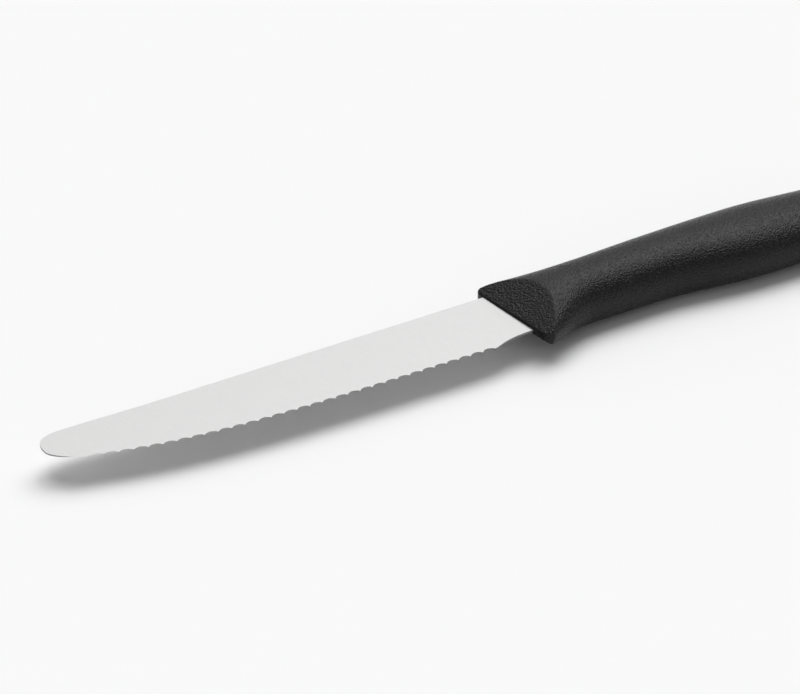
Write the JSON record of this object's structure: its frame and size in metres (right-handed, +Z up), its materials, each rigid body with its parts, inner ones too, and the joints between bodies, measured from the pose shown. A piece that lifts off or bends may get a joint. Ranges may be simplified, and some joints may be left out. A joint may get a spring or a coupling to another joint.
{
  "type": "serrated table knife",
  "caption": "Round-tipped table knife with a scalloped steel blade, a plain choil and a black grained plastic handle moulded round the tang.",
  "frame": {"origin": "middle of the bounding box, on the plane that the knife lies on", "axes": "+X from the tip to the butt, +Y from the cutting edge to the spine, +Z up out of the blade's flat side"},
  "size_m": [0.21, 0.0256, 0.0133],
  "materials": {
    "blade_steel": "fine satin grind, bare",
    "handle_plastic": "fine moulded leather grain"
  },
  "bodies": {
    "root": {"blade": "blade_steel", "handle": "handle_plastic"}
  },
  "joints": []
}
